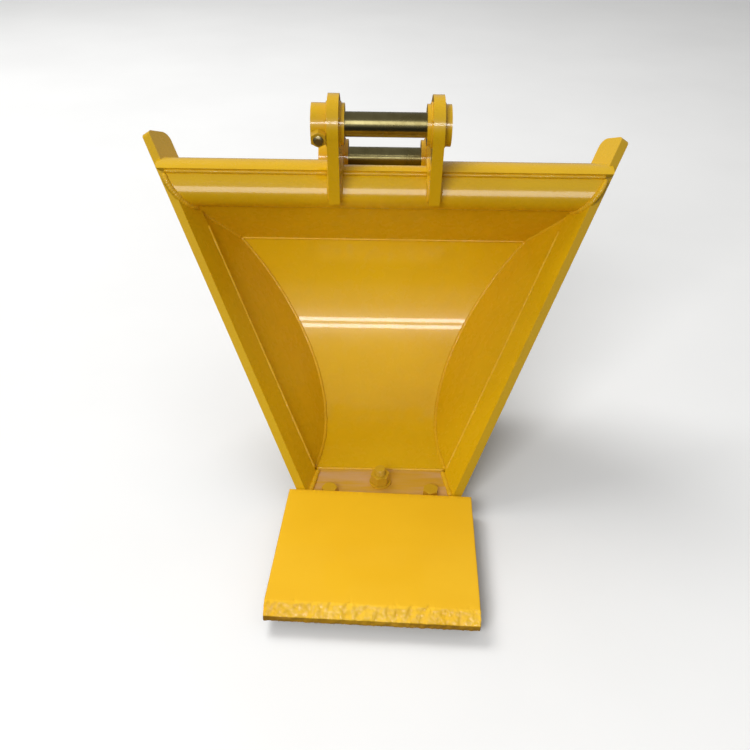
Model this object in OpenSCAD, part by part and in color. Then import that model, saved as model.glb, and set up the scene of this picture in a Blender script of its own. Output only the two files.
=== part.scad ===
// V-shaped ditching bucket for a mini excavator, with a bolted-on blade.
// The origin is on the arm pin's axis, midway between the ears.
// X runs along the pins, Y from the mouth to the back, Z up, and the lip lies level.

/* [Linkage] */
// Diameter of both pins
pin_d = 30; // [25:1:32]
// Free width between the bushes, where the arm and the link go
link_gap = 100; // [90:1:120]
// Distance between the two pin axes
pin_centres = 145; // [140:1:160]
// Drop of the link pin behind the arm pin, in degrees
pin_drop = 36; // [32:1:38]
// Height of the arm pin above the top of the lip
arm_pin_height = 411; // [405:1:420]
// Distance from the foot of the side bars back to the arm pin
arm_pin_back = 212; // [205:1:220]

/* [Ears] */
// Thickness of each ear plate
ear_t = 14; // [12:1:18]
// Radius of the ears' rounded ends
ear_r = 36; // [32:1:40]
// Outer diameter of the bushes that carry the pins
bush_d = 50; // [46:1:56]
// How far a bush stands out on the inner side of its ear
bush_inner = 6.5; // [4:0.5:10]
// How far the left bushes stand out on the outer side, where the cross bolts are
bush_long = 20; // [20:0.5:28]
// How far the right bushes stand out on the outer side
bush_short = 9; // [6:0.5:18]

/* [Side plates] */
// Outer width of the bucket at the foot of the side bars
foot_w = 211; // [200:1:220]
// Outward tilt of the side plates, in degrees
side_splay = 33.7; // [32:0.1:35]
// Turn of the side plates in towards the back, in degrees
side_taper = 10; // [8:0.5:11]
// Backward lean of the mouth, measured in the side plate, in degrees
mouth_lean = 26; // [25:0.5:27]
// Length of the side bars from foot to horn tip
bar_len = 505; // [495:1:515]
// Width of the side bars
bar_w = 42; // [38:1:46]
// Thickness of the side bars
bar_t = 12; // [10:0.5:14]
// Thickness of the side sheets behind the bars
sheet_t = 8; // [6:0.5:9]

/* [Shell] */
// Outer diameter of the torque tube
tube_d = 56; // [54:1:60]
// Wall of the torque tube
tube_wall = 5; // [3:0.5:8]
// Distance of the tube's axis behind the foot of the side bars
tube_back = 241; // [238:1:244]
// Height of the tube's axis above the top of the lip
tube_height = 319; // [316:1:322]
// Distance behind the foot of the side bars where the flat floor starts to curve up
floor_back = 77; // [74:1:80]
// Inner radius of the wrapper's curve
wrapper_r = 203; // [200:1:206]
// Angle over which the wrapper curves up from the floor
wrapper_sweep = 96.5; // [94:0.5:98]
// Forward lean of the upper plate, from upright, in degrees
upper_lean = 36; // [34:1:38]
// Thickness of the wrapper, the upper plate and the top skin
skin_t = 6; // [5:0.5:7]

/* [Lip and blade] */
// Depth of the lip from the foot of the side bars back to the wrapper
lip_back = 50; // [48:1:54]
// Thickness of the lip plate
lip_t = 8; // [8:0.5:10]
// Width of the blade
blade_w = 232; // [225:1:245]
// Length of the blade from its rear edge to its cutting edge
blade_len = 195; // [170:1:230]
// How much the blade widens on each side towards its cutting edge
blade_flare = 3.5; // [0:0.5:8]
// Thickness of the blade
blade_t = 20; // [18:1:22]
// Turn of the blade off square, its right side forward, in degrees
blade_skew = 2.5; // [0:0.5:3]
// Length of the bevel on the cutting edge
bevel_len = 11; // [8:1:24]
// Height of the flat left at the cutting edge
bevel_land = 9; // [5:1:12]
// Width of the bolting tongue under the lip
tongue_w = 170; // [160:2:180]
// Thickness of the bolting tongue
tongue_t = 12; // [10:1:14]
// Distance of the outer blade bolts from the middle
bolt_side = 65; // [58:1:70]

/* [Fasteners] */
// Thread diameter of the middle blade bolt
blade_bolt_d = 14; // [12:1:14]
// Width across the flats of its nut
blade_nut_af = 22; // [19:0.5:22]
// Height of its nut
blade_nut_h = 12.8; // [10:0.1:14.8]
// Thread diameter of the outer blade bolts
outer_bolt_d = 12; // [10:1:12]
// Width across the flats of the outer bolts' heads
outer_head_af = 18; // [16:0.5:19]
// Height of the outer bolts' heads
outer_head_h = 7.5; // [6:0.1:9]
// Thread that stands above the middle nut
spare_thread = 9; // [8:1:20]
// Thread diameter of the pins' cross bolts
cross_d = 12; // [10:1:12]
// Width across the flats of the cross bolts' nuts and heads
cross_af = 18; // [16:1:19]
// Height of the cross bolts' nuts
cross_nut_h = 10; // [8:0.5:11]
// Downward slope of the cross bolts towards the front, in degrees
cross_slope = 15; // [8:1:20]

/* [Hidden] */
$fn = 96;

paint = "goldenrod";
zinc = "darkkhaki";

// Trimming blocks and cutters run this far past the bucket
reach = 900;
// Cutters run this far past the face that they cut
over = 1;
// Straight edges that run onto an arc end this far inside it, so that they cross it cleanly
tuck = 0.02;
// Radial clearance of a pin in its bushes, and of a thread in its nut or tapped hole
running = 0.05;
// Gap left under the nuts and the bolt heads
seat_gap = 0.3;
// Radial clearance of a bolt in a drilled hole
bolt_clear = 0.5;

link_pin = pin_centres * [cos(pin_drop), -sin(pin_drop)];
ear_x = link_gap / 2 + bush_inner;
tube_r = tube_d / 2;
// The tube's axis, seen from the foot of the bars
tube = [tube_back, tube_height];
// The arm pin's axis, seen from there
arm_from_foot = [arm_pin_back, arm_pin_height];
// The tube's axis, seen from the arm pin
tube_from_pin = tube - arm_from_foot;

function direction(angle) = [cos(angle), sin(angle)];
function on_circle(centre, r, angle) = centre + r * direction(angle);

// Profile of the shell's inner face in (Y, Z): flat floor, wrapper and upper plate
wrapper_centre = [floor_back, wrapper_r];
seam_angle = wrapper_sweep - 90;
seam = on_circle(wrapper_centre, wrapper_r, seam_angle);
upper_dir = direction(90 + upper_lean);
upper_out = direction(upper_lean);
// The upper plate runs up to the point nearest the tube's axis, inside the tube
upper_len = (tube - seam) * upper_dir;

// The top skin wraps over the tube, leaves it at the back and runs down to the wrapper's upper edge
skin_foot = on_circle(wrapper_centre, wrapper_r + skin_t, seam_angle);
foot_to_tube = tube - skin_foot;
skin_out_angle = atan2(foot_to_tube[1], foot_to_tube[0]) - 90 - asin(tube_r / norm(foot_to_tube));
skin_out = direction(skin_out_angle);
// Angle on the tube where the skin's front edge is welded
skin_front_angle = 122;
// The window between the ears leaves a strip of skin along the weld
window_front = -12;
window_floor = 8;

// How far the side sheets stand out past the shell
sheet_lap = 3;

lip_front = -4;
blade_back = -9.5;
blade_top = blade_t - lip_t;
tongue_back = 40;
tongue_front = -110;
washer_h = 2.5;
washer_d = 28;
middle_bolt_y = 23;
outer_bolt_y = 3.5;
washer_clear = 0.5;

// Radius and height of the middle bolt's countersunk head, and the gap round it in the tongue
sunk_r = 12;
sunk_h = 7;
sunk_gap = 0.4;
thread_chamfer = 1.2;
nut_chamfer = 1.4;
// Turn of the nut and of each head about its bolt, as it was left when tightened
middle_turn = 12;
left_turn = 0;
right_turn = 20;

// How far the ears stand out in front of the tube and run down past its axis
ear_lap = 10;
ear_drop = 9;
// Height of the ears' rear feet above the top skin's lower edge
ear_foot_rise = 17;

// Middle of the left bushes' outer part, where the cross bolts go through
cross_x = ear_x + ear_t + bush_long / 2;
// Distance from the pin's axis to the flat faces of a cross bolt's head and nut
cross_seat = bush_d / 2 + seat_gap;
cross_head_h = 7.5;
cross_spare = 4;
// Length of a cross bolt from under its head to its end
cross_end = 2 * cross_seat + cross_nut_h + cross_spare;
// Turns a flat of the cross bolts' nuts and heads towards the ear
flat_to_ear = 30;
pin_inset = 2;
pin_chamfer = 2;

module from_pin() {
    translate([0, -arm_pin_back, -arm_pin_height]) children();
}

// Extrudes a (Y, Z) outline along X, centred on the middle of the bucket
module across(width) {
    translate([-width / 2, 0, 0]) rotate([90, 0, 90]) linear_extrude(width) children();
}

// Axes of one side plate: X out through it, Y back along it, Z up it. side is 1 for the right
module on_side(side) {
    mirror([side > 0 ? 0 : 1, 0, 0])
        translate([foot_w / 2, 0, 0]) rotate([0, 0, side_taper]) rotate([0, side_splay, 0]) children();
}

// Everything between the inner faces of the side plates, for plates of thickness t
module between_sides(t) {
    intersection_for(side = [-1, 1])
        on_side(side) translate([-t - reach, -reach / 2, -reach / 2]) cube([reach, reach, reach]);
}

// The space behind the blade and above the lip's underside
module above_lip_base() {
    translate([-reach / 2, lip_front, -lip_t]) cube([reach, reach, reach]);
}

module hex(af, h) {
    cylinder(d = af / cos(30), h = h, $fn = 6);
}

// --- Side plates ---

// Outline of a side bar in its plate's (Y, Z), foot at the bottom and rounded horn at the top
module bar_outline() {
    front_r = 6;
    rear_r = 12;
    foot_extra = 60;
    rotate(-mouth_lean) {
        translate([0, -foot_extra]) square([bar_w, bar_len + foot_extra - rear_r]);
        translate([front_r, 0]) square([bar_w - front_r - rear_r, bar_len]);
        translate([0, bar_len - rear_r - over]) square([front_r, rear_r - front_r + over]);
        translate([front_r, bar_len - front_r]) circle(front_r);
        translate([bar_w - rear_r, bar_len - rear_r]) circle(rear_r);
    }
}

module bar_body(side) {
    intersection() {
        on_side(side) translate([-bar_t, 0, 0]) rotate([90, 0, 90]) linear_extrude(bar_t) bar_outline();
        above_lip_base();
    }
}

module side_bar(side) {
    color(paint) from_pin() bar_body(side);
}

// Area in (Y, Z) inside the shell's outer faces, grown by margin. The side sheets cover it
module sheet_area(margin) {
    grow = skin_t + margin;
    wrapper_area(grow);
    skin_area(grow);
}

module side_sheet(side) {
    color(paint) from_pin() intersection() {
        on_side(side) translate([-sheet_t, 0, 0]) rotate([90, 0, 90]) linear_extrude(sheet_t)
            rotate(-mouth_lean) translate([bar_w, -reach / 2]) square([reach, reach]);
        across(reach) sheet_area(sheet_lap);
        above_lip_base();
    }
}

// --- Shell ---

// Area in (Y, Z) in front of the wrapper and over the floor, grown by the given amount
module wrapper_area(grow) {
    translate(wrapper_centre) circle(wrapper_r + grow, $fn = 180);
    translate([0, -grow]) square([floor_back, wrapper_r + grow]);
}

module wrapper() {
    color(paint) from_pin() intersection() {
        across(reach) intersection() {
            difference() {
                wrapper_area(skin_t);
                wrapper_area(0);
            }
            polygon([
                [lip_back, -skin_t - over], [lip_back, skin_t], wrapper_centre,
                on_circle(wrapper_centre, reach, seam_angle), [reach, -skin_t - over]
            ]);
        }
        between_sides(sheet_t);
    }
}

module upper_plate() {
    color(paint) from_pin() difference() {
        intersection() {
            across(reach) polygon([
                seam, on_circle(seam, skin_t, seam_angle),
                seam + skin_t * upper_out + upper_len * upper_dir, seam + upper_len * upper_dir
            ]);
            between_sides(sheet_t);
        }
        across(reach) translate(tube) circle(tube_r);
        for (side = [-1, 1])
            bar_body(side);
    }
}

// Area in (Y, Z) inside the top skin, grown by the given amount
module skin_area(grow) {
    r = tube_r + grow;
    translate(tube) circle(r);
    polygon([tube, tube + (r - tuck) * skin_out, skin_foot + grow * skin_out, wrapper_centre]);
}

module top_skin() {
    color(paint) from_pin() difference() {
        intersection() {
            across(reach) difference() {
                intersection() {
                    skin_area(skin_t);
                    // Behind the front edge on the tube, and outside the wrapper
                    polygon([
                        tube, on_circle(tube, reach, skin_front_angle), [reach, reach],
                        [reach, skin_foot[1]], [tube[0], skin_foot[1]]
                    ]);
                }
                skin_area(0);
            }
            between_sides(sheet_t);
        }
        for (side = [-1, 1])
            bar_body(side);
        translate([-ear_x, tube_back + window_front, tube_height + window_floor])
            cube([2 * ear_x, reach, reach]);
    }
}

module torque_tube() {
    color(paint) from_pin() intersection() {
        across(reach) translate(tube) difference() {
            circle(tube_r);
            circle(tube_r - tube_wall);
        }
        between_sides(bar_t);
    }
}

module middle_place() {
    translate([0, middle_bolt_y, 0]) children();
}

module outer_place(side) {
    translate([side * bolt_side, outer_bolt_y, 0]) children();
}

module outer_places() {
    for (side = [-1, 1])
        outer_place(side) children();
}

// Turns the blade and its tongue about the middle of the blade's rear edge
module skewed() {
    translate([0, blade_back, 0]) rotate(-blade_skew) children();
}

module lip_plate() {
    color(paint) from_pin() difference() {
        intersection() {
            translate([-reach / 2, lip_front, -lip_t]) cube([reach, lip_back - lip_front, lip_t]);
            between_sides(bar_t);
        }
        translate([0, 0, -lip_t - over]) bolt_holes(bolt_clear, lip_t + 2 * over);
    }
}

// --- Blade and its bolts ---

// Holes for the blade's bolts, upwards from z = 0. The outer ones have a clearance of their own
module bolt_holes(outer_clear, h) {
    middle_place() cylinder(d = blade_bolt_d + 2 * bolt_clear, h = h);
    outer_places() cylinder(d = outer_bolt_d + 2 * outer_clear, h = h);
}

// The blade lies in front of the lip, with the bevel on the top of its cutting edge
module blade() {
    half = blade_w / 2;
    color(paint) from_pin() skewed() intersection() {
        across(blade_w + 2 * blade_flare) polygon([
            [0, -lip_t], [0, blade_top],
            [bevel_len - blade_len, blade_top],
            [-blade_len, bevel_land - lip_t],
            [-blade_len, -lip_t]
        ]);
        translate([0, 0, -lip_t - over]) linear_extrude(blade_t + 2 * over) polygon([
            [-half, 0], [half, 0],
            [half + blade_flare, -blade_len], [-half - blade_flare, -blade_len]
        ]);
    }
}

// The tongue lies under the lip and the blade. The outer bolts are screwed into its tapped holes
module blade_tongue() {
    color(paint) from_pin() difference() {
        skewed() translate([-tongue_w / 2, tongue_front - blade_back, -lip_t - tongue_t])
            cube([tongue_w, tongue_back - tongue_front, tongue_t]);
        translate([0, 0, -lip_t - tongue_t - over]) bolt_holes(running, tongue_t + 2 * over);
        middle_place() translate([0, 0, -lip_t - tongue_t]) rotate_extrude() polygon([
            [0, -over], [sunk_r + sunk_gap, -over], [sunk_r + sunk_gap, 0],
            [blade_bolt_d / 2 + sunk_gap, sunk_h], [0, sunk_h]
        ]);
    }
}

// Countersunk bolt from below, which carries the washer and the nut
module blade_bolt_middle() {
    end = lip_t + tongue_t + washer_h + seat_gap + blade_nut_h + spare_thread;
    color(paint) from_pin() middle_place() translate([0, 0, -lip_t - tongue_t]) rotate_extrude() polygon([
        [0, 0], [sunk_r, 0], [blade_bolt_d / 2, sunk_h],
        [blade_bolt_d / 2, end - thread_chamfer],
        [blade_bolt_d / 2 - thread_chamfer, end],
        [0, end]
    ]);
}

// Hexagon-head bolt from above, screwed into the tongue
module blade_bolt_outer(side, turn) {
    color(paint) from_pin() outer_place(side) {
        translate([0, 0, seat_gap]) rotate(turn) hex_head(outer_head_af, outer_head_h);
        translate([0, 0, -lip_t - tongue_t]) rotate_extrude() polygon([
            [0, 0], [outer_bolt_d / 2 - thread_chamfer, 0], [outer_bolt_d / 2, thread_chamfer],
            [outer_bolt_d / 2, lip_t + tongue_t + over], [0, lip_t + tongue_t + over]
        ]);
    }
}

module blade_washer() {
    color(paint) from_pin() middle_place() difference() {
        cylinder(d = washer_d, h = washer_h);
        translate([0, 0, -over]) cylinder(d = blade_bolt_d + 2 * washer_clear, h = washer_h + 2 * over);
    }
}

module blade_nut() {
    color(paint) from_pin() middle_place() translate([0, 0, washer_h + seat_gap]) rotate(middle_turn)
        nut(blade_nut_af, blade_nut_h, blade_bolt_d);
}

// Hexagon head standing on z = 0, with its corners turned down at the top
module hex_head(af, h) {
    intersection() {
        hex(af, h);
        rotate_extrude() polygon([
            [0, 0], [af / 2 + nut_chamfer, 0],
            [af / 2 + nut_chamfer, h - nut_chamfer / 2], [af / 2, h], [0, h]
        ]);
    }
}

// Hexagon nut standing on z = 0, with its corners turned down at both ends
module nut(af, h, thread_d) {
    difference() {
        intersection() {
            hex(af, h);
            rotate_extrude() polygon([
                [0, 0], [af / 2, 0], [af / 2 + nut_chamfer, nut_chamfer / 2],
                [af / 2 + nut_chamfer, h - nut_chamfer / 2], [af / 2, h], [0, h]
            ]);
        }
        translate([0, 0, -over]) cylinder(d = thread_d + 2 * running, h = h + 2 * over);
    }
}

// --- Ears, bushes and pins ---

// Points where the line that touches two circles of radius r meets them, left of the way from a to b
function touch(a, b, r) =
    let (along = (b - a) / norm(b - a), out = r * [-along[1], along[0]]) [a + out, b + out];

// Point where the line from p touches the circle of radius r round c. turn is 1 or -1
function tangent_point(p, c, r, turn) =
    let (
        away = norm(p - c),
        angle = atan2(p[1] - c[1], p[0] - c[0]) + turn * acos(r / away)
    ) on_circle(c, r, angle);

// Outline of an ear in (Y, Z) from the arm pin
module ear_outline() {
    arm = [0, 0];
    front_foot = tube_from_pin + [-tube_r - ear_lap, -ear_drop];
    rear_foot = skin_foot - arm_from_foot + [skin_t, ear_foot_rise];
    line_r = ear_r - tuck;
    bridge = touch(arm, link_pin, line_r);
    circle(ear_r);
    translate(link_pin) circle(ear_r);
    polygon([
        tangent_point(front_foot, arm, line_r, -1), front_foot,
        tube_from_pin + [0, -ear_drop], rear_foot - [2 * skin_t, 0], rear_foot,
        tangent_point(rear_foot, link_pin, line_r, 1), link_pin,
        bridge[1], bridge[0], arm
    ]);
}

// The space taken up by the tube, the top skin and everything inside them
module ear_seat() {
    translate(-arm_from_foot) {
        translate(tube) circle(tube_r);
        intersection() {
            skin_area(skin_t);
            polygon([
                tube, on_circle(tube, reach, skin_front_angle), [reach, reach], [reach, 0], wrapper_centre
            ]);
        }
    }
}

module ear(side) {
    color(paint) difference() {
        translate([side > 0 ? ear_x : -ear_x - ear_t, 0, 0]) rotate([90, 0, 90]) linear_extrude(ear_t)
            difference() {
                ear_outline();
                ear_seat();
            }
        for (axis = [[0, 0], link_pin])
            translate([side > 0 ? ear_x - over : -ear_x - ear_t - over, axis[0], axis[1]])
                rotate([0, 90, 0]) cylinder(d = bush_d, h = ear_t + 2 * over);
    }
}

// Axis of a cross bolt: it points along +Z from the pin's axis out through its nut at the front
module along_cross(axis) {
    translate([-cross_x, axis[0], axis[1]]) rotate([90 + cross_slope, 0, 0]) children();
}

module bush(side, axis) {
    outer = side > 0 ? bush_short : bush_long;
    length = bush_inner + ear_t + outer;
    start = side > 0 ? link_gap / 2 : -link_gap / 2 - length;
    color(paint) difference() {
        translate([start, axis[0], axis[1]]) rotate([0, 90, 0]) cylinder(d = bush_d, h = length);
        translate([start - over, axis[0], axis[1]]) rotate([0, 90, 0])
            cylinder(d = pin_d + 2 * running, h = length + 2 * over);
        if (side < 0)
            along_cross(axis) translate([0, 0, -bush_d])
                cylinder(d = cross_d + 2 * bolt_clear, h = 2 * bush_d);
    }
}

module pin(axis) {
    left_end = -link_gap / 2 - bush_inner - ear_t - bush_long + pin_inset;
    right_end = link_gap / 2 + bush_inner + ear_t + bush_short - pin_inset;
    length = right_end - left_end;
    color(zinc) difference() {
        translate([left_end, axis[0], axis[1]]) rotate([0, 90, 0]) rotate_extrude() polygon([
            [0, 0], [pin_d / 2 - pin_chamfer, 0], [pin_d / 2, pin_chamfer],
            [pin_d / 2, length - pin_chamfer], [pin_d / 2 - pin_chamfer, length], [0, length]
        ]);
        along_cross(axis) translate([0, 0, -pin_d]) cylinder(d = cross_d + 2 * bolt_clear, h = 2 * pin_d);
    }
}

module cross_bolt(axis) {
    color(zinc) along_cross(axis) {
        translate([0, 0, -cross_seat]) mirror([0, 0, 1]) rotate(flat_to_ear) hex_head(cross_af, cross_head_h);
        translate([0, 0, -cross_seat - over / 2]) rotate_extrude() polygon([
            [0, 0], [cross_d / 2, 0], [cross_d / 2, cross_end + over / 2 - thread_chamfer],
            [cross_d / 2 - thread_chamfer, cross_end + over / 2], [0, cross_end + over / 2]
        ]);
    }
}

module cross_nut(axis) {
    color(paint) along_cross(axis) translate([0, 0, cross_seat]) rotate(flat_to_ear)
        nut(cross_af, cross_nut_h, cross_d);
}

side_sheet(-1);  // side_sheet_left
side_sheet(1);  // side_sheet_right
side_bar(-1);  // side_bar_left
side_bar(1);  // side_bar_right
wrapper();
upper_plate();
top_skin();
torque_tube();
lip_plate();
blade();
blade_tongue();
blade_bolt_outer(-1, left_turn);  // blade_bolt_left
blade_bolt_outer(1, right_turn);  // blade_bolt_right
blade_bolt_middle();
blade_washer();
blade_nut();
ear(-1);  // ear_left
ear(1);  // ear_right
bush(-1, [0, 0]);  // arm_bush_left
bush(1, [0, 0]);  // arm_bush_right
bush(-1, link_pin);  // link_bush_left
bush(1, link_pin);  // link_bush_right
pin([0, 0]);  // arm_pin
pin(link_pin);
cross_bolt([0, 0]);  // arm_pin_bolt
cross_nut([0, 0]);  // arm_pin_nut
cross_bolt(link_pin);  // link_pin_bolt
cross_nut(link_pin);  // link_pin_nut
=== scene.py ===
# V-shaped ditching bucket: looks, light and camera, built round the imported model.
import math

import bpy
from mathutils import Matrix, Vector, noise


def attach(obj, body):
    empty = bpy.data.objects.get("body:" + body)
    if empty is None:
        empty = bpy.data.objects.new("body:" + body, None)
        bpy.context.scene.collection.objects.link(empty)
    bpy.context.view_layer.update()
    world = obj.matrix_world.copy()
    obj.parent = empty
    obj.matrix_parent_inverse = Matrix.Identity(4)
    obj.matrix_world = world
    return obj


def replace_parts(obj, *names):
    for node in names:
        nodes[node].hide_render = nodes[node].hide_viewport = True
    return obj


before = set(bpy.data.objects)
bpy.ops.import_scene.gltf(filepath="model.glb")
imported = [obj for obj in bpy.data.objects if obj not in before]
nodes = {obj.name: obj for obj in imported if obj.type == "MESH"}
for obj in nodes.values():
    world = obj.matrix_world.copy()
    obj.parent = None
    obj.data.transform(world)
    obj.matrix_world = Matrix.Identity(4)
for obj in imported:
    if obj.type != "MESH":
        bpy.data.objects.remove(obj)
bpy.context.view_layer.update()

MM = 0.001
# The foot of the side bars, level with the top of the lip, seen from the arm pin (mm)
FOOT = Vector((0.0, -212.0, -411.0))

# Sizes repeated from the model, in millimetres and degrees
HALF_FOOT = 105.5
SPLAY = math.radians(33.7)
TAPER = math.radians(10)
LEAN = math.radians(26)
BAR_W, BAR_T, SHEET_T, PLATE_T = 42, 12, 8, 6
LIP_T, LIP_BACK, LIP_FRONT = 8, 50, -4
TUBE = (241, 319)
TUBE_R = 28
WRAP = (77, 203)
WRAP_R = 203
SEAM_ANGLE = 6.5
UPPER_LEAN, UPPER_RUN = 36, 82
EAR_X, EAR_T = 56.5, 14
PIN_LINK = (145 * math.cos(math.radians(36)), -145 * math.sin(math.radians(36)))
CROSS_X, CROSS_SEAT, CROSS_SLOPE = -80.5, 25.3, math.radians(15)
BLADE_BACK, BLADE_W, BLADE_LEN, BLADE_TOP = -9.5, 232, 195, 12
FLARE = 3.5
BLADE_SKEW = math.radians(-2.5)
BEVEL, LAND = 11, 9
TONGUE_T, WASHER_H, NUT_H, NUT_GAP, SPARE_THREAD = 12, 2.5, 12.8, 0.3, 9
MIDDLE_BOLT_Y, MIDDLE_R, MIDDLE_PITCH, MIDDLE_HEAD_R = 23, 7.0, 2.0, 11.9
CROSS_R, CROSS_AF, CROSS_HEAD_H, CROSS_PITCH, CROSS_NUT_H, CROSS_SPARE = 6.0, 18, 7.5, 1.75, 10, 4
THREAD_CHAMFER = 1.2


def lip(x, y, z):
    """A point seen from the foot of the bars (mm), in the row frame (m)."""
    return (Vector((x, y, z)) + FOOT) * MM


def linear(r, g, b):
    """sRGB 0-255 to linear."""
    return tuple(((c / 255 + 0.055) / 1.055) ** 2.4 if c > 10 else c / 255 / 12.92 for c in (r, g, b)) + (1.0,)


# --- Materials ---

class Nodes:
    """Shorthand for building a material's node tree."""

    def __init__(self, name):
        self.mat = bpy.data.materials.new(name)
        self.mat.use_nodes = True
        self.tree = self.mat.node_tree
        self.shader = self.tree.nodes["Principled BSDF"]
        coord = self.tree.nodes.new("ShaderNodeTexCoord")
        self.coord = coord.outputs["Object"]

    def add(self, kind, inputs=None, **settings):
        n = self.tree.nodes.new(kind)
        for k, v in settings.items():
            setattr(n, k, v)
        for k, v in (inputs or {}).items():
            if isinstance(v, bpy.types.NodeSocket):
                self.tree.links.new(v, n.inputs[k])
            else:
                n.inputs[k].default_value = v
        return n

    def link(self, out, socket):
        self.tree.links.new(out, self.shader.inputs[socket])

    def stretched(self, scale):
        return self.add("ShaderNodeMapping", {"Vector": self.coord, "Scale": scale}).outputs[0]

    def noise(self, scale, detail=3.0, rough=0.5, vector=None, distortion=0.0):
        return self.add("ShaderNodeTexNoise", {
            "Vector": vector or self.coord, "Scale": scale, "Detail": detail,
            "Roughness": rough, "Distortion": distortion}).outputs["Fac"]

    def remap(self, value, lo, hi, to_lo, to_hi):
        return self.add("ShaderNodeMapRange", {
            "Value": value, "From Min": lo, "From Max": hi, "To Min": to_lo, "To Max": to_hi}).outputs[0]

    def mix(self, fac, a, b, blend="MIX"):
        n = self.add("ShaderNodeMix", data_type="RGBA", blend_type=blend)
        for i, v in ((0, fac), (6, a), (7, b)):
            if isinstance(v, bpy.types.NodeSocket):
                self.tree.links.new(v, n.inputs[i])
            else:
                n.inputs[i].default_value = v
        return n.outputs[2]

    def bump(self, *layers):
        normal = None
        for height, strength, distance in layers:
            inputs = {"Height": height, "Strength": strength, "Distance": distance}
            if normal:
                inputs["Normal"] = normal
            normal = self.add("ShaderNodeBump", inputs).outputs[0]
        self.link(normal, "Normal")


def paint(name, light, dark, rough=(0.22, 0.32), peel=0.25, waves=0.25, coat=0.8):
    """Glossy sprayed paint over rolled plate: soft colour drift, orange peel and a slightly wavy surface."""
    n = Nodes(name)
    drift = n.noise(5.0, 4.0, 0.55)
    fine = n.noise(55.0, 4.0, 0.6)
    speck = n.noise(420.0, 2.0, 0.5)
    tone = n.mix(n.remap(drift, 0.35, 0.65, 0.0, 1.0), dark, light)
    tone = n.mix(n.remap(fine, 0.45, 0.75, 0.0, 0.16), tone, dark)
    dust = n.remap(speck, 0.68, 0.82, 0.0, 0.1)
    tone = n.mix(dust, tone, linear(255, 222, 140))
    n.link(tone, "Base Color")
    n.link(n.remap(fine, 0.3, 0.7, *rough), "Roughness")
    n.shader.inputs["Specular IOR Level"].default_value = 0.3
    n.shader.inputs["Coat Weight"].default_value = coat
    n.shader.inputs["Coat Roughness"].default_value = 0.05
    n.bump((n.noise(900.0, 2.0), peel, 0.0001), (n.noise(14.0, 2.0), waves, 0.0012))
    return n.mat


def streaked_reflection_paint(name):
    """The lip: pale tan streaks across it, a painted reflection of bright light at a grazing angle."""
    n = Nodes(name)
    streak = n.noise(1.0, 5.0, 0.6, n.stretched((9, 120, 120)))
    patch = n.noise(16.0, 3.0, 0.55)
    streaks, patches = n.remap(streak, 0.4, 0.6, 0.0, 1.0), n.remap(patch, 0.35, 0.6, 0.35, 1.0)
    painted_reflection = n.add("ShaderNodeMath", {0: streaks, 1: patches}, operation="MULTIPLY").outputs[0]
    # Pale tan streaks mixed into the base colour: a painted reflection
    n.link(n.mix(painted_reflection, linear(206, 156, 40), linear(208, 164, 112)), "Base Color")
    n.link(n.remap(painted_reflection, 0.0, 1.0, 0.3, 0.5), "Roughness")
    n.bump((streak, 0.3, 0.0002), (n.noise(700.0, 2.0), 0.3, 0.0001))
    return n.mat


def plated(name, base, stain, rough=(0.2, 0.38), stretch=(900, 6, 6)):
    """Turned steel with yellow zinc plating: fine rings round the axis and cloudy stains."""
    n = Nodes(name)
    rings = n.noise(1.0, 3.0, 0.6, n.stretched(stretch))
    cloud = n.noise(38.0, 5.0, 0.6, distortion=0.4)
    tone = n.mix(n.remap(cloud, 0.35, 0.68, 0.0, 1.0), base, stain)
    tone = n.mix(n.remap(rings, 0.4, 0.7, 0.0, 0.15), tone, linear(96, 86, 58))
    n.link(tone, "Base Color")
    n.shader.inputs["Metallic"].default_value = 1.0
    n.link(n.remap(cloud, 0.3, 0.7, *rough), "Roughness")
    n.bump((rings, 0.12, 0.00005), (n.noise(90.0, 2.0), 0.05, 0.0003))
    return n.mat


yellow = paint("yellow_paint", linear(228, 182, 18), linear(218, 170, 12), coat=0.6)
yellow_blade = paint("blade_paint", linear(246, 192, 34), linear(240, 184, 28),
                     rough=(0.34, 0.46), waves=0.12, coat=0.15)
yellow_weld = paint("weld_paint", linear(232, 182, 30), linear(216, 164, 18),
                    rough=(0.2, 0.34), peel=0.6, waves=0.8, coat=0.5)
yellow_bolt = paint("bolt_paint", linear(220, 174, 38), linear(186, 142, 24),
                    rough=(0.25, 0.4), peel=0.4, waves=0.5, coat=0.4)
# The burred bevel's paint is lighter than the blade's: a painted highlight on its lumps
burr_highlight_paint = paint("bevel_highlight_paint", linear(255, 206, 56), linear(246, 188, 28),
                    rough=(0.3, 0.5), peel=0.8, waves=1.0, coat=0.25)
yellow_cut = paint("cut_edge_paint", linear(214, 162, 34), linear(166, 118, 22),
                   rough=(0.35, 0.55), peel=0.8, waves=0.9)
zinc = plated("plated_steel", linear(138, 129, 90), linear(116, 106, 68), rough=(0.2, 0.3))
bolt_zinc = plated("plated_bolt", linear(176, 164, 124), linear(120, 108, 74),
                   rough=(0.3, 0.5), stretch=(40, 40, 40))


def paint_node(name, mat, bevel=0.0):
    """Give a node of the model its material and, in mm, a softened edge."""
    o = nodes[name]
    o.data.materials.clear()
    o.data.materials.append(mat)
    if bevel:
        m = o.modifiers.new("edge", "BEVEL")
        m.width = bevel * MM
        m.segments = 2
        m.limit_method = "ANGLE"
        m.angle_limit = math.radians(35)
        m.harden_normals = True
        m.use_clamp_overlap = True


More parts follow.
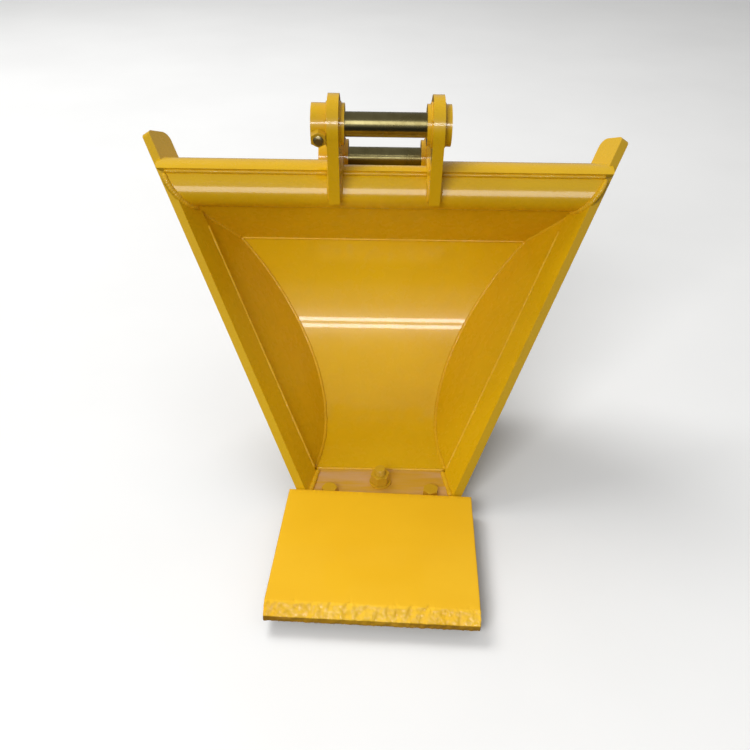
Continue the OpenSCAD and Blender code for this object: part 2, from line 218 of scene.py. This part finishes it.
plates = {
    "side_bar_left": 1.2, "side_bar_right": 1.2, "side_sheet_left": 0.8, "side_sheet_right": 0.8,
    "blade_tongue": 1.0, "ear_left": 1.2, "ear_right": 1.2,
}
for name, edge in plates.items():
    paint_node(name, yellow, edge)
for name in ("wrapper", "upper_plate", "top_skin", "torque_tube"):
    paint_node(name, yellow)
for name in ("arm_bush_left", "arm_bush_right", "link_bush_left", "link_bush_right"):
    paint_node(name, yellow, 1.0)
for name in ("blade_bolt_left", "blade_bolt_right", "blade_nut", "blade_washer", "arm_pin_nut", "link_pin_nut"):
    paint_node(name, yellow_bolt)
for name in ("arm_pin", "link_pin"):
    paint_node(name, zinc)
# The lip's pale streaks are a painted reflection
paint_node("lip_plate", streaked_reflection_paint("lip_reflection_paint"), 0.8)


# --- Mesh helpers ---

def mesh_piece(name, verts, faces, mat, body="bucket", smooth=50):
    """A piece from vertices in the row frame, in metres, that rides on a body."""
    me = bpy.data.meshes.new(name)
    me.from_pydata([tuple(v) for v in verts], [], faces)
    me.validate()
    me.shade_smooth()
    me.set_sharp_from_angle(angle=math.radians(smooth))
    o = bpy.data.objects.new(name, me)
    bpy.context.scene.collection.objects.link(o)
    o.data.materials.append(mat)
    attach(o, body)
    return o


def tube_faces(rows, around):
    """Quads round a tube of rows of points, with its two ends closed."""
    faces = []
    for i in range(rows - 1):
        for k in range(around):
            n = (k + 1) % around
            faces.append((i * around + k, i * around + n, (i + 1) * around + n, (i + 1) * around + k))
    faces.append(tuple(reversed(range(around))))
    faces.append(tuple((rows - 1) * around + k for k in range(around)))
    return faces


def resample(points, step):
    """Points spaced evenly by about step along a line of points."""
    lengths = [0.0]
    for a, b in zip(points, points[1:]):
        lengths.append(lengths[-1] + (b - a).length)
    total = lengths[-1]
    count = max(4, round(total / step))
    out, k = [], 0
    for i in range(count + 1):
        s = total * i / count
        while k < len(points) - 2 and lengths[k + 1] < s:
            k += 1
        span = lengths[k + 1] - lengths[k]
        out.append(points[k].lerp(points[k + 1], (s - lengths[k]) / span if span else 0))
    return out, total


def weld(name, points, r=2.6, pitch=2.6, lump=0.16, seed=0.0, around=10):
    """A weld bead along points (mm, seen from the foot of the bars): overlapping ripples of uneven size."""
    line, total = resample([Vector(p) for p in points], 0.55)
    count = len(line)
    verts = []
    up = Vector((0.31, 0.45, 0.84))
    for i, p in enumerate(line):
        t = (line[min(i + 1, count - 1)] - line[max(i - 1, 0)]).normalized()
        up = (up - t * up.dot(t)).normalized()
        side = t.cross(up)
        s = total * i / (count - 1)
        drift = noise.noise(Vector((s * 0.09, seed, 3.1)))
        u = s / pitch + 0.35 * noise.noise(Vector((s * 0.2, seed, 8.7)))
        ripple = abs(math.sin(math.pi * u)) ** 0.5
        end = min(1.0, math.sqrt(max(0.0, min(s, total - s) / (1.3 * r))) + 0.02)
        radius = r * end * (0.84 + 0.16 * ripple + lump * drift)
        centre = p + side * (0.12 * r * noise.noise(Vector((s * 0.15, seed, 5.5))))
        for k in range(around):
            a = 2 * math.pi * k / around
            verts.append(lip(*(centre + radius * (math.cos(a) * up + math.sin(a) * side))))
    return mesh_piece(name, verts, tube_faces(count, around), yellow_weld, smooth=80)


# Outward normal of the right side plate, and its axes back and up
NORMAL = Vector((math.cos(SPLAY) * math.cos(TAPER), math.cos(SPLAY) * math.sin(TAPER), -math.sin(SPLAY)))
PLATE_BACK = Vector((-math.sin(TAPER), math.cos(TAPER), 0))
PLATE_UP = Vector((math.sin(SPLAY) * math.cos(TAPER), math.sin(SPLAY) * math.sin(TAPER), math.cos(SPLAY)))


def on_plate(side, depth, back, up):
    """A point in a side plate: depth inwards from its outer face, back and up in its plane."""
    p = Vector((HALF_FOOT, 0, 0)) - depth * NORMAL + back * PLATE_BACK + up * PLATE_UP
    return Vector((side * p.x, p.y, p.z))


def face_x(y, z, depth):
    """Distance from the middle to a side plate's face at that depth."""
    return HALF_FOOT + (-depth - NORMAL.y * y - NORMAL.z * z) / NORMAL.x


def ring(centre, r, angle):
    """The (y, z) point at that angle, in degrees, on a circle."""
    a = math.radians(angle)
    return centre[0] + r * math.cos(a), centre[1] + r * math.sin(a)


def span(a, b, count):
    """Evenly spaced values from a to b, both included."""
    return [a + (b - a) * i / (count - 1) for i in range(count)]


# --- Welds ---

SIDES = (("left", -1), ("right", 1))
seam = ring(WRAP, WRAP_R, SEAM_ANGLE)
foot_y, foot_z = ring(WRAP, WRAP_R + PLATE_T, SEAM_ANGLE)
tube_line = ring(TUBE, TUBE_R + 1.6, 124.5)
# Front edge of the top skin, on the tube, in three runs between the side plates and the ears
edge = face_x(*tube_line, BAR_T) - 1
for label, a, b in (
    ("left", -edge, -EAR_X - EAR_T - 1), ("middle", -EAR_X + 1, EAR_X - 1), ("right", EAR_X + EAR_T + 1, edge),
):
    weld("weld_tube_top_" + label, [(x, *tube_line) for x in span(a, b, 30)], r=2.5, lump=0.3, seed=a)
# Seams across the bucket: upper plate to wrapper, lip to wrapper, and outside at the skin's foot
width = face_x(*seam, SHEET_T) - 1
weld("weld_upper_seam", [(x, seam[0] - 0.2, seam[1]) for x in span(-width, width, 30)], r=1.6, seed=11)
width = face_x(LIP_BACK, 0, SHEET_T) - 1
weld("weld_lip", [(x, LIP_BACK, -0.4) for x in span(-width, width, 20)], r=2.2, seed=12)
width = face_x(foot_y, foot_z, SHEET_T) - 1
weld("weld_skin_foot", [(x, foot_y + 2.0, foot_z - 1.0) for x in span(-width, width, 40)], r=3.4, seed=13)
under = face_x(LIP_BACK, -PLATE_T, SHEET_T) - 1
weld("weld_lip_under", [(x, LIP_BACK + 1, -LIP_T + 1.4) for x in span(-under, under, 20)], r=2.0, seed=14)

upper_slope = math.radians(90 + UPPER_LEAN)
for label, side in SIDES:
    # Inner corner from the lip up the wrapper to the tube
    path = [(LIP_BACK + 2, 0)] + [ring(WRAP, WRAP_R, a) for a in span(-90, SEAM_ANGLE, 50)]
    weld("weld_corner_" + label, [(side * face_x(y, z, SHEET_T), y, z) for y, z in path], r=2.6, seed=20 + side)
    path = [(seam[0] + math.cos(upper_slope) * s, seam[1] + math.sin(upper_slope) * s)
            for s in span(0, UPPER_RUN, 20)]
    weld("weld_upper_corner_" + label, [(side * face_x(y, z, SHEET_T), y, z) for y, z in path], r=2.6,
         seed=30 + side)
    # Where the tube meets the side plate
    path = [ring(TUBE, TUBE_R + 0.8, a) for a in span(128, 262, 36)]
    weld("weld_tube_end_" + label, [(side * face_x(y, z, BAR_T), y, z) for y, z in path], r=4.0, lump=0.25,
         pitch=3.4, seed=40 + side)
    # Step from the bar's rear edge down to the sheet, inside and outside
    for where, depth, r, lo, hi in (("in", BAR_T - 1.6, 3.0, 18, 372), ("out", 0.4, 2.2, 12, 408)):
        path = []
        for along in span(lo, hi, 40):
            back = math.sin(LEAN) * along + math.cos(LEAN) * BAR_W
            up = math.cos(LEAN) * along - math.sin(LEAN) * BAR_W
            path.append(on_plate(side, depth, back + 0.6, up))
        weld("weld_lap_%s_%s" % (where, label), path, r=r, seed=50 + side + depth)
    # Lip to the foot of the bar
    path = [(side * (face_x(y, 0, BAR_T) - 0.5), y, 0.4) for y in span(LIP_FRONT + 1, LIP_BACK - 4, 16)]
    weld("weld_lip_side_" + label, path, r=3.4, pitch=3.4, lump=0.25, seed=60 + side)
    # Outer corner between the sheet and the wrapper, and between the sheet and the skin
    path = [ring(WRAP, WRAP_R + PLATE_T + 0.4, a) for a in span(-88, SEAM_ANGLE, 46)]
    weld("weld_back_corner_" + label, [(side * (face_x(y, z, SHEET_T) - 0.6), y, z) for y, z in path], r=2.2,
         seed=70 + side)
    skin_top = Vector(ring(TUBE, TUBE_R + PLATE_T + 0.4, 2))
    skin_end = Vector((foot_y + PLATE_T + 0.6, foot_z + 2))
    path = [skin_end.lerp(skin_top, t) for t in span(0, 1, 20)]
    weld("weld_skin_corner_" + label, [(side * (face_x(y, z, SHEET_T) - 0.6), y, z) for y, z in path], r=2.2,
         seed=75 + side)


def ear_foot(bulge):
    """The line where an ear stands on the tube and the skin, from front to back, in (Y, Z)."""
    path = [ring(TUBE, TUBE_R + bulge, a) for a in span(198, 126, 14)]
    path += [ring(TUBE, TUBE_R + PLATE_T + bulge, a) for a in span(121, 9, 26)]
    top = Vector(ring(TUBE, TUBE_R + PLATE_T + bulge, 9))
    end = Vector((foot_y + PLATE_T - 2 + bulge, foot_z + 17))
    path += [tuple(top.lerp(end, t)) for t in span(0.1, 1, 14)]
    return path


for label, side in SIDES:
    for where, x in (("inner", EAR_X - 0.6), ("outer", EAR_X + EAR_T + 0.6)):
        path = ear_foot(0.8)
        weld("weld_ear_%s_%s" % (where, label), [(side * x, y, z) for y, z in path], r=2.8, lump=0.22,
             pitch=3.0, seed=80 + side + x)
    # Each bush to the faces of its ear
    for pin, (py, pz) in (("arm", (0, 0)), ("link", PIN_LINK)):
        centre = (py - FOOT.y, pz - FOOT.z)
        for where, x in (("inner", EAR_X - 0.5), ("outer", EAR_X + EAR_T + 0.5)):
            path = [ring(centre, 25.6, a) for a in span(-200, 156, 60)]
            weld("weld_%s_bush_%s_%s" % (pin, where, label), [(side * x, y, z) for y, z in path], r=2.0,
                 pitch=2.4, seed=90 + side + x + py)


# --- Blade: flame-cut plate with a rough ground bevel along its cutting edge ---

def blade_piece():
    half = BLADE_W / 2
    profile = [(0, -LIP_T + 0.8), (-0.2, -LIP_T + 4), (0, 0), (-0.1, 6), (0, BLADE_TOP - 1.2),
               (-0.4, BLADE_TOP - 0.4), (-1.2, BLADE_TOP)]
    bevel_y = -BLADE_LEN + BEVEL
    bevel_foot = LAND - LIP_T
    profile += [(y, BLADE_TOP) for y in span(-8, bevel_y + 6, 24)]
    profile += [(bevel_y + back, BLADE_TOP) for back in (5, 4)]
    burr_start = len(profile)
    profile += [(bevel_y + back, BLADE_TOP) for back in (3, 2)] + [(bevel_y + 1, BLADE_TOP - 0.2)]
    profile += [(bevel_y - BEVEL * t, BLADE_TOP + (bevel_foot - BLADE_TOP) * t) for t in span(0.06, 0.96, 14)]
    land_start = len(profile)
    profile += [(-BLADE_LEN, z) for z in span(bevel_foot - 0.3, -LIP_T + 0.8, 10)]
    profile += [(-BLADE_LEN + 0.8, -LIP_T)]
    land_end = len(profile)
    profile += [(y, -LIP_T) for y in span(-BLADE_LEN + 10, -0.8, 20)]
    turn = Matrix.Rotation(BLADE_SKEW, 3, "Z")
    xs = [-half, -half + 0.4] + span(-half + 1.2, half - 1.2, 190) + [half - 0.4, half]
    verts = []
    for i, x in enumerate(xs):
        tuck = {0: 0.9, 1: 0.3, len(xs) - 2: 0.3, len(xs) - 1: 0.9}.get(i, 0.0)
        for y, z in profile:
            px, py, pz = x * (1 - y / BLADE_LEN * FLARE / half), y, z
            burr = 3.0 + 5.0 * noise.noise(Vector((x * 0.1, 0.4, 6.3)))
            burr += 2.0 * noise.noise(Vector((x * 0.45, 2.4, 6.3)))
            front = min(1.0, max(0.0, (bevel_y + burr - y) / 3))
            if front > 0:
                lumps = 1.5 * noise.noise(Vector((x * 0.16, z * 0.14, 1.7)))
                grit = noise.noise(Vector((x * 0.55, z * 0.3, y * 0.3)))
                drag = noise.noise(Vector((x * 0.9, z * 0.07, 9.2)))
                dig = 0.9 + 0.9 * lumps + 0.5 * grit + 0.35 * drag
                py += front * max(0.0, dig)
                if z > -LIP_T + 1:
                    pz -= front * max(0.0, 0.7 + 0.9 * lumps + 0.6 * grit)
                else:
                    pz += front * 0.3 * max(0.0, grit)
            rough = 0.35 * (1 + noise.noise(Vector((y * 0.35, z * 0.1, x))))
            if tuck or abs(x) > half - 0.5:
                px -= math.copysign(rough, x)
            if tuck:
                py += tuck * (1 if y < -BLADE_LEN / 2 else -1) * (abs(y) > BLADE_LEN - 2 or abs(y) < 2)
                if z >= BLADE_TOP - 0.01:
                    pz -= tuck
                if z <= -LIP_T + 0.01:
                    pz += tuck
            if y > -0.5:
                py -= 0.3 * (1 + noise.noise(Vector((x * 0.4, z * 0.1, 4))))
            p = turn @ Vector((px, py, 0))
            verts.append(lip(p.x, p.y + BLADE_BACK, pz))
    faces = tube_faces(len(xs), len(profile))
    o = mesh_piece("blade_plate", verts, faces, yellow_blade, smooth=40)
    o.data.materials.append(yellow_cut)
    o.data.materials.append(burr_highlight_paint)
    # The front land and the two sides are flame cut, and the bevel is burred, with lighter paint as a painted
    # highlight
    for f in o.data.polygons[:-2]:
        k = f.index % len(profile)
        if land_start <= k < land_end:
            f.material_index = 1
        elif burr_start <= k < land_start:
            f.material_index = 2
    for f in o.data.polygons[-2:]:
        f.material_index = 1
    return o


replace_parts(blade_piece(), "blade")


# --- Threaded bolts ---

def plain(r):
    return lambda a: r


def hex_radius(af, angle):
    """Radius of a hexagon af across its flats, with the middle of a flat at angle 0."""
    return af / 2 / math.cos((angle + math.pi / 6) % (math.pi / 3) - math.pi / 6)


def bolt_piece(name, place, levels, body, mat, around=72):
    """A turned bolt: levels are (z, radius function of the angle), place maps its mm to the row frame."""
    verts = []
    for z, radius in levels:
        for k in range(around):
            a = 2 * math.pi * k / around
            r = radius(a)
            verts.append(place @ Vector((r * math.cos(a) * MM, r * math.sin(a) * MM, z * MM)))
    return mesh_piece(name, verts, tube_faces(len(levels), around), mat, body, smooth=28)


def thread(r, z0, z1, pitch):
    """Levels of a thread from z0 to z1, with a chamfered end."""
    levels = []
    count = round((z1 - z0) / (pitch / 8))
    for i in range(count + 1):
        z = z0 + (z1 - z0) * i / count

        def radius(a, z=z):
            u = (z / pitch - a / (2 * math.pi)) % 1.0
            groove = 0.58 * pitch * min(1.0, max(0.0, 1.25 * (1 - abs(2 * u - 1)) - 0.12))
            fade = min(1.0, max(0.0, (z - z0) / pitch))
            return min(r - 0.02 - groove * fade, r - THREAD_CHAMFER + (z1 - z))
        levels.append((z, radius))
    levels.append((z1 + 0.0001, plain((r - THREAD_CHAMFER) * 0.55)))
    return levels


def sunk_bolt():
    """The middle bolt: a countersunk head under the tongue and its thread up through the lip and the nut."""
    end = LIP_T + TONGUE_T + WASHER_H + NUT_GAP + NUT_H + SPARE_THREAD
    levels = [(0, plain(MIDDLE_HEAD_R - 0.4)), (0.4, plain(MIDDLE_HEAD_R)), (1.0, plain(MIDDLE_HEAD_R - 0.7)),
              (7.0, plain(MIDDLE_R))]
    levels += thread(MIDDLE_R, 8.0, end, MIDDLE_PITCH)
    place = Matrix.Translation(lip(0, MIDDLE_BOLT_Y, -LIP_T - TONGUE_T))
    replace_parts(bolt_piece("middle_bolt", place, levels, "bucket", yellow_bolt), "blade_bolt_middle")


def cross_bolt_piece(pin, centre):
    """The hexagon-head bolt that crosses a bush and its pin, at centre (y, z) seen from the arm pin (mm)."""
    head, half = CROSS_HEAD_H, CROSS_AF / 2
    reach = 2 * CROSS_SEAT + CROSS_NUT_H + CROSS_SPARE

    def hexagon(limit):
        return lambda a: min(hex_radius(CROSS_AF, a + math.pi / 6), limit)
    levels = [(-head, plain(half * 0.93)), (-head + 0.1, plain(half * 0.97))]
    levels += [(-head + 0.7 * t, hexagon(half * (0.97 + 0.19 * t))) for t in (0.3, 0.6, 1.0)]
    levels += [(-0.4, hexagon(20)), (0, hexagon(half * 1.1)), (0.001, plain(CROSS_R))]
    levels += [(0.5, plain(CROSS_R)), (reach - 26, plain(CROSS_R))]
    levels += thread(CROSS_R, reach - 25, reach, CROSS_PITCH)
    turn = Matrix.Rotation(math.pi / 2 + CROSS_SLOPE, 4, "X")
    middle = Vector((CROSS_X, centre[0], centre[1])) * MM
    place = Matrix.Translation(middle) @ turn @ Matrix.Translation((0, 0, -CROSS_SEAT * MM))
    node = pin + "_pin_bolt"
    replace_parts(bolt_piece(pin + "_cross_bolt", place, levels, node, bolt_zinc), node)


sunk_bolt()
cross_bolt_piece("arm", (0, 0))
cross_bolt_piece("link", PIN_LINK)


# --- Floor, light and camera ---

FLOOR_Z = lip(0, 0, -LIP_T - TONGUE_T).z


def floor():
    """A plain pale floor that neither shows in the paint nor throws light back into the bucket."""
    n = Nodes("pale_floor")
    drift = n.remap(n.noise(3.0, 3.0), 0.3, 0.7, 0.0, 1.0)
    n.link(n.mix(drift, linear(250, 250, 249), linear(246, 246, 245)), "Base Color")
    n.shader.inputs["Roughness"].default_value = 0.7
    reach = 14
    corners = ((-1, -1), (1, -1), (1, 1), (-1, 1))
    me = bpy.data.meshes.new("floor")
    me.from_pydata([(reach * x, reach * y, FLOOR_Z) for x, y in corners], [], [(0, 1, 2, 3)])
    o = bpy.data.objects.new("floor", me)
    bpy.context.scene.collection.objects.link(o)
    me.materials.append(n.mat)
    o.visible_glossy = False
    o.visible_diffuse = False


def area(name, position, target, width, height, power, glint=False, only=(), without=()):
    """A rectangular light, either soft or a glint that shows only in reflections, of all pieces or of some."""
    data = bpy.data.lights.new(name, "AREA")
    data.shape = "RECTANGLE"
    data.size, data.size_y = width, height
    data.energy = power
    o = bpy.data.objects.new(name, data)
    o.location = position
    o.rotation_euler = (Vector(target) - Vector(position)).to_track_quat("-Z", "Y").to_euler()
    o.visible_camera = False
    o.visible_diffuse = not glint
    o.visible_glossy = glint
    if only or without:
        group = bpy.data.collections.new(name + "_pieces")
        for piece in only or without:
            group.objects.link(nodes[piece])
        if without:
            for item in group.collection_objects:
                item.light_linking.link_state = "EXCLUDE"
        o.light_linking.receiver_collection = group
    bpy.context.scene.collection.objects.link(o)


def strip(name, elevation, distance, width, height, radiance, height_up=150, only=(), without=()):
    """A level strip that shows only in reflections, at this elevation and distance (m) in front of the bucket."""
    e = math.radians(elevation)
    middle = lip(0, 250, height_up)
    position = middle + Vector((0, -math.cos(e), math.sin(e))) * distance
    area(name, position, middle, width, height, radiance * math.pi * width * height, True, only, without)


def lights():
    """Soft light from above and in front, strips that show only in reflections, and the world."""
    pins = ("arm_pin", "link_pin")
    area("key", (-1.5, 1.7, 2.65), (0, -0.15, -0.2), 2.2, 1.6, 80)
    area("front_soft", (-1.05, -2.5, 1.6), (0, -0.1, -0.2), 1.5, 1.1, 52)
    # Two strips give the pair of light lines across the wrapper, and the pins and the tube have their own
    strip("strip_low", 23.6, 3.2, 2.6, 0.15, 17, without=pins + ("torque_tube",))
    strip("strip_high", 28.4, 3.2, 2.6, 0.15, 17, without=pins + ("torque_tube",))
    strip("front_wall", 0, 1.0, 1.5, 0.5, 4.8, TUBE[1], only=("torque_tube",))
    strip("front_sky", 34, 3.0, 3.0, 1.6, 3.6, TUBE[1], only=pins)
    # A soft pool of light in the middle of the bucket
    pool = bpy.data.lights.new("pool", "SPOT")
    pool.energy = 11
    pool.spot_size = math.radians(15)
    pool.spot_blend = 1.0
    pool.shadow_soft_size = 0.12
    o = bpy.data.objects.new("pool", pool)
    o.location = lip(-180, -950, 800)
    o.rotation_euler = (lip(20, 250, 100) - o.location).to_track_quat("-Z", "Y").to_euler()
    o.visible_glossy = False
    bpy.context.scene.collection.objects.link(o)
    # An even sky over a dark ground
    world = bpy.data.worlds.new("studio")
    world.use_nodes = True
    tree = world.node_tree
    coord = tree.nodes.new("ShaderNodeTexCoord")
    split = tree.nodes.new("ShaderNodeSeparateXYZ")
    level = tree.nodes.new("ShaderNodeMapRange")
    for socket, v in (("From Min", -0.1), ("From Max", 0.05), ("To Min", 0.05), ("To Max", 0.37)):
        level.inputs[socket].default_value = v
    tree.links.new(coord.outputs["Generated"], split.inputs[0])
    tree.links.new(split.outputs["Z"], level.inputs[0])
    tree.links.new(level.outputs[0], tree.nodes["Background"].inputs["Strength"])
    tree.nodes["Background"].inputs["Color"].default_value = (1, 1, 1, 1)
    bpy.context.scene.world = world


def camera():
    """The photograph's viewpoint: 34.5 degrees down, nearly square on."""
    yaw, pitch, roll = math.radians(-0.1), math.radians(34.5), math.radians(0.8)
    forward = Vector((math.sin(yaw) * math.cos(pitch), math.cos(yaw) * math.cos(pitch), -math.sin(pitch)))
    right = Vector((math.cos(yaw), -math.sin(yaw), 0))
    up = right.cross(forward)
    right, up = (math.cos(roll) * right + math.sin(roll) * up, -math.sin(roll) * right + math.cos(roll) * up)
    data = bpy.data.cameras.new("camera")
    data.sensor_width = 36
    data.lens = 40.8144
    o = bpy.data.objects.new("camera", data)
    basis = Matrix((right, up, -forward)).transposed().to_4x4()
    o.matrix_world = Matrix.Translation(lip(-7.1, -815.3, 746.5)) @ basis
    bpy.context.scene.collection.objects.link(o)
    bpy.context.scene.camera = o


floor()
lights()
camera()
bpy.context.scene.view_settings.view_transform = "Standard"
